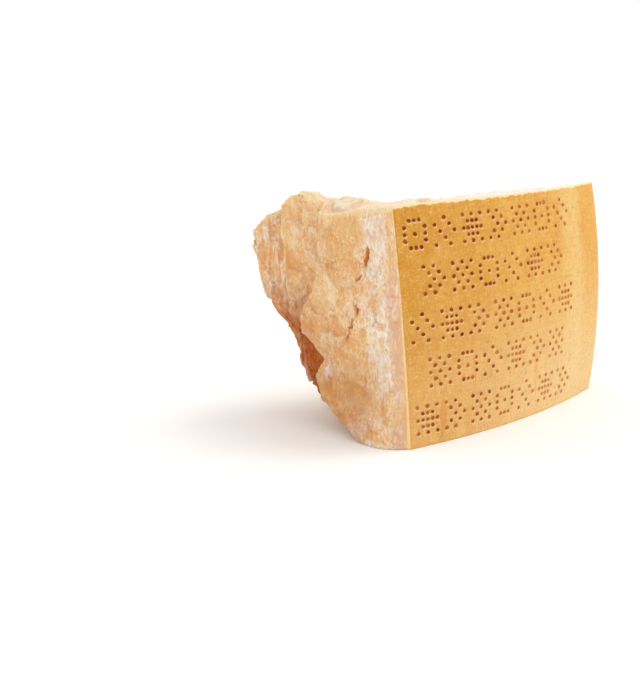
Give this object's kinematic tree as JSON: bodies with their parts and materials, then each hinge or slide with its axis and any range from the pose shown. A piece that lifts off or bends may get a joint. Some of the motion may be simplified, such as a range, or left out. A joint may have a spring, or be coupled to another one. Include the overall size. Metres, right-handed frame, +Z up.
{
  "type": "parmesan chunk",
  "caption": "Rough broken wedge of hard grating cheese with a bulging amber rind on its front and right end, torn granular faces elsewhere and a flat underside that it rests on.",
  "frame": {"origin": "middle of the base of the bounding box, on the surface the wedge rests on", "axes": "+Z up, -Y out of the rind's face, +X along the rind towards its rounded right-hand end"},
  "size_m": [0.1738, 0.1242, 0.1134],
  "materials": {
    "cheese": "matte granular straw-yellow cheese with a satin amber rind"
  },
  "bodies": {
    "root": {"cheese_wedge": "cheese"}
  },
  "joints": []
}
